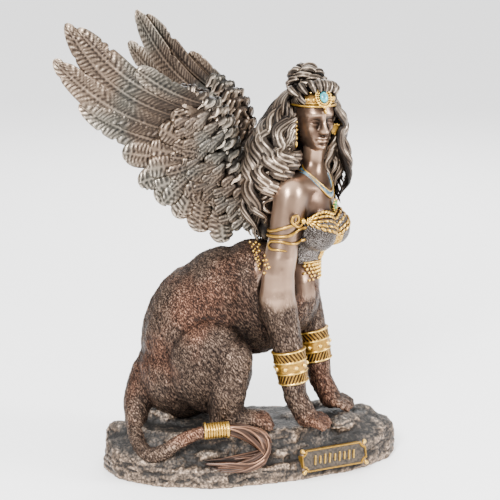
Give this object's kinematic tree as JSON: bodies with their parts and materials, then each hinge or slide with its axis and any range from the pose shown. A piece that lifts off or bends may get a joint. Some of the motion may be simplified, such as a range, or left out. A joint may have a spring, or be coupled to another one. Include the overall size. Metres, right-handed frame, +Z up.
{
  "type": "sphinx statue",
  "caption": "Tabletop figurine of a seated winged sphinx with a woman's head and torso on a lion's body, cast on an oval rock plinth with a small plaque.",
  "frame": {"origin": "centre of the plinth's flat underside", "axes": "+X along the plinth's long side, towards the forepaws; -Y to the side with the plaque; +Z up"},
  "size_m": [0.1701, 0.1325, 0.2187],
  "materials": {
    "rock": "cold-cast resin, stippled rock with a dark wash and dry-brushed bronze",
    "antique_bronze": "cold-cast resin with an antique bronze finish, smooth skin and brushed fur",
    "pale_bronze": "cold-cast resin with a pale pewter and bronze finish and a green-grey wash",
    "gold_paint": "gold paint with a dark wash in its grooves",
    "enamel": "glossy turquoise and green enamel paint"
  },
  "bodies": {
    "root": {"plinth": "rock", "sphinx_figure": "antique_bronze", "right_wing": "pale_bronze", "left_wing": "pale_bronze"}
  },
  "joints": []
}
